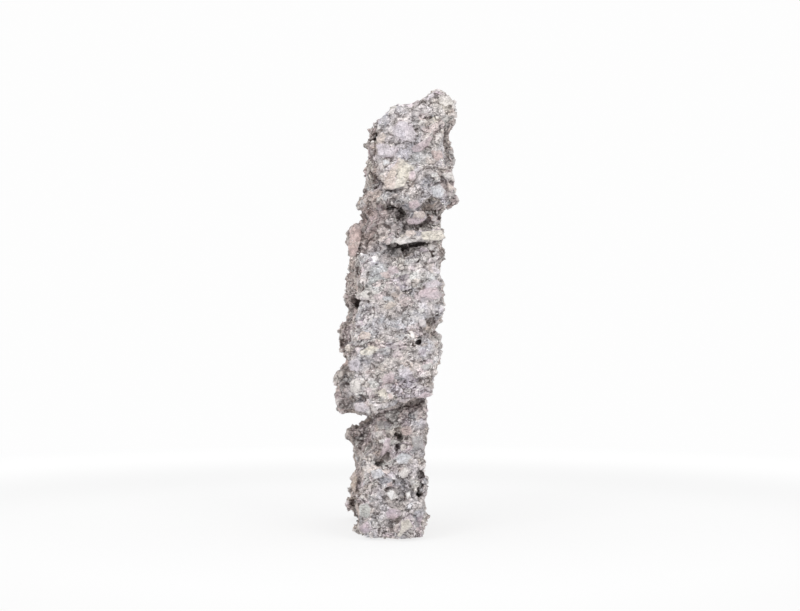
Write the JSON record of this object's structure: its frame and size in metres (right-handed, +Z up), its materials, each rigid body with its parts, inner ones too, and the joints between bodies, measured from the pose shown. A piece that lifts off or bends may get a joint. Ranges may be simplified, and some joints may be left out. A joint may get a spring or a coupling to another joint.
{
  "type": "ibigawa rock",
  "caption": "Tall, narrow slab of rough breccia with stepped ledges, undercuts and pits, standing on a flat spot under its foot.",
  "frame": {"origin": "on the ground, under the middle of the stone's bounding box", "axes": "+Z up along the stone's height; -Y towards the narrow broken edge that the picture shows; X across the slab's thickness"},
  "size_m": [0.1594, 0.258, 0.541],
  "materials": {
    "stone": "rough broken and weathered breccia"
  },
  "bodies": {
    "root": {"ibigawa_rock": "stone"}
  },
  "joints": []
}
